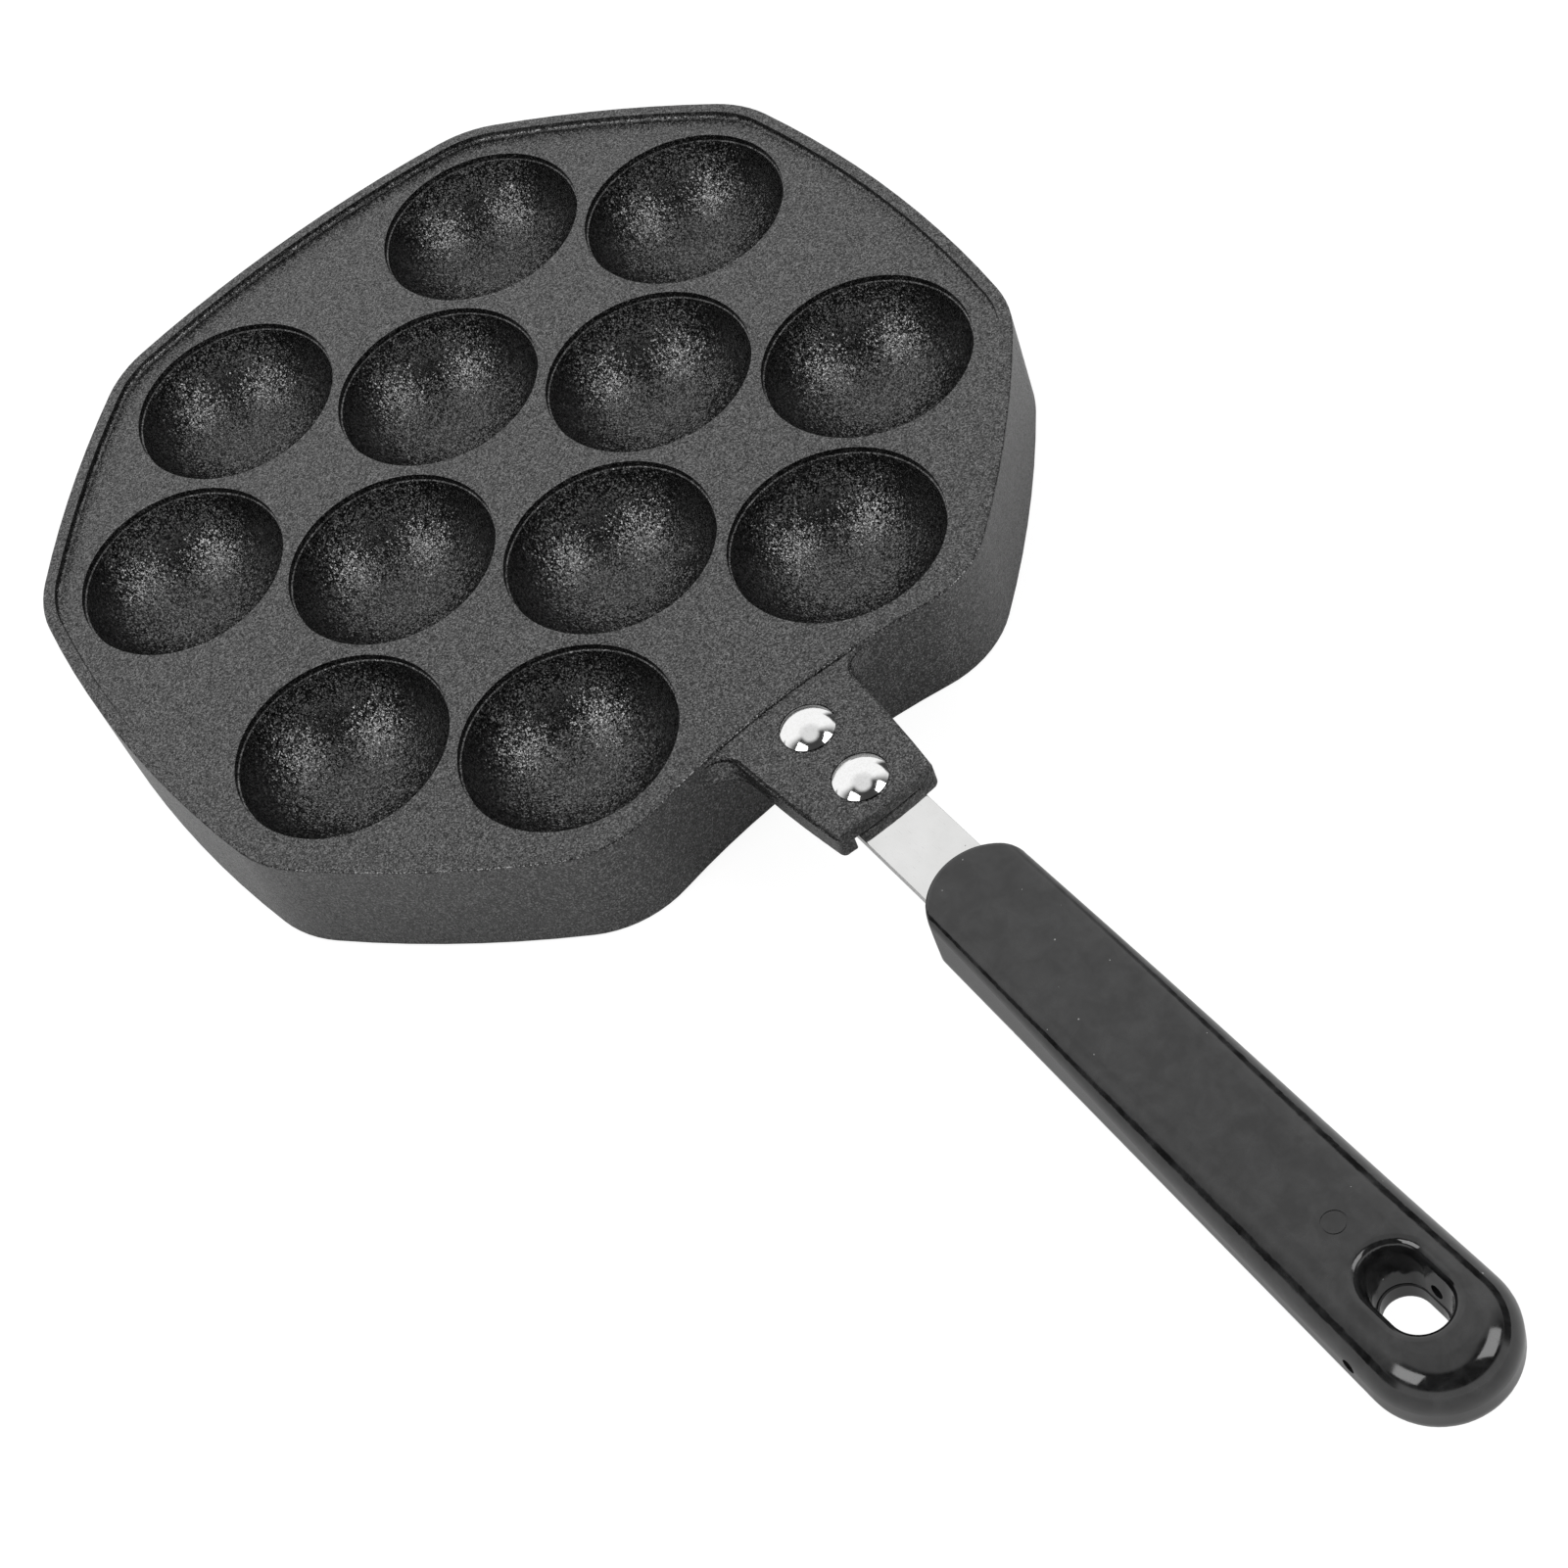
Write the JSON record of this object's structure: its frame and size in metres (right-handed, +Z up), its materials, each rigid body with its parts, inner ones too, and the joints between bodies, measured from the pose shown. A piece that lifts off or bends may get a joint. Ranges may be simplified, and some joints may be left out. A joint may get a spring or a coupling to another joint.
{
  "type": "takoyaki pan",
  "caption": "Cast takoyaki pan with round cups in an eight-sided plate, a riveted flat tang and a moulded grip with a hanging hole.",
  "frame": {"origin": "middle of the plate on the plane of the skirt's lower edge", "axes": "+X along the handle, away from the plate; +Z up, out of the cups"},
  "size_m": [0.3607, 0.1858, 0.0262],
  "materials": {
    "coating": "dark grey speckled non-stick coating on cast aluminium, fine matt grain",
    "steel": "polished, lightly scratched",
    "grip": "black moulded phenolic, glossy",
    "rivet": "polished dome head"
  },
  "bodies": {
    "root": {"pan_casting": "coating", "handle_tang": "steel", "handle_grip": "grip", "rivet_front": "rivet", "rivet_rear": "rivet"}
  },
  "joints": []
}
